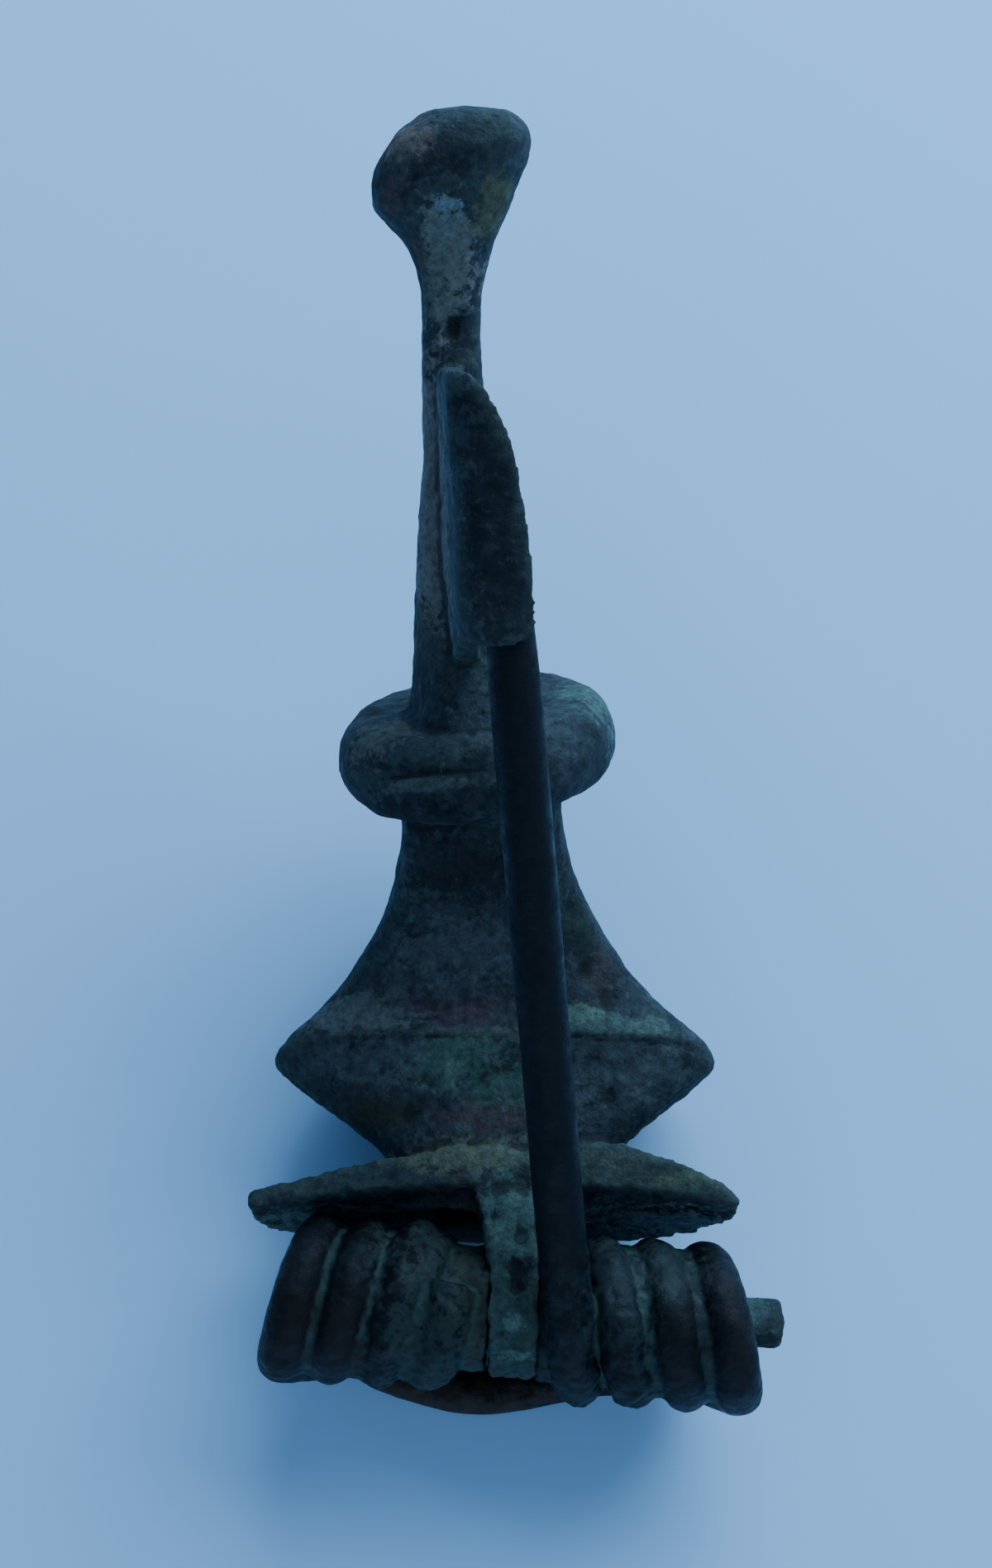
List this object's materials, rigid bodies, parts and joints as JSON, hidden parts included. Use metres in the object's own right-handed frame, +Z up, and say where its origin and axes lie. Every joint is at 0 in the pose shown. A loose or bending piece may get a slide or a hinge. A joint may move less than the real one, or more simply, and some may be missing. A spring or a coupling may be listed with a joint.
{
  "type": "fibula brooch",
  "caption": "Cast bow brooch with a flared head, round collar, knobbed foot and catch plate, and a coiled spring whose pin runs the length of the bow into the catch.",
  "frame": {"origin": "bottom centre of the bounding box of the whole brooch as it lies on its front", "axes": "+Y from the spring towards the foot knob, +Z up away from the table, +X along the spring towards the rod's open end"},
  "size_m": [0.0244, 0.0522, 0.0307],
  "materials": {
    "bow": "mottled green and grey patina, dull",
    "spring_pin": "dark smooth patina with green crust on the coils",
    "spring_rod": "pale green crust"
  },
  "bodies": {
    "root": {"bow": "bow", "spring_pin": "spring_pin", "spring_rod": "spring_rod"}
  },
  "joints": []
}
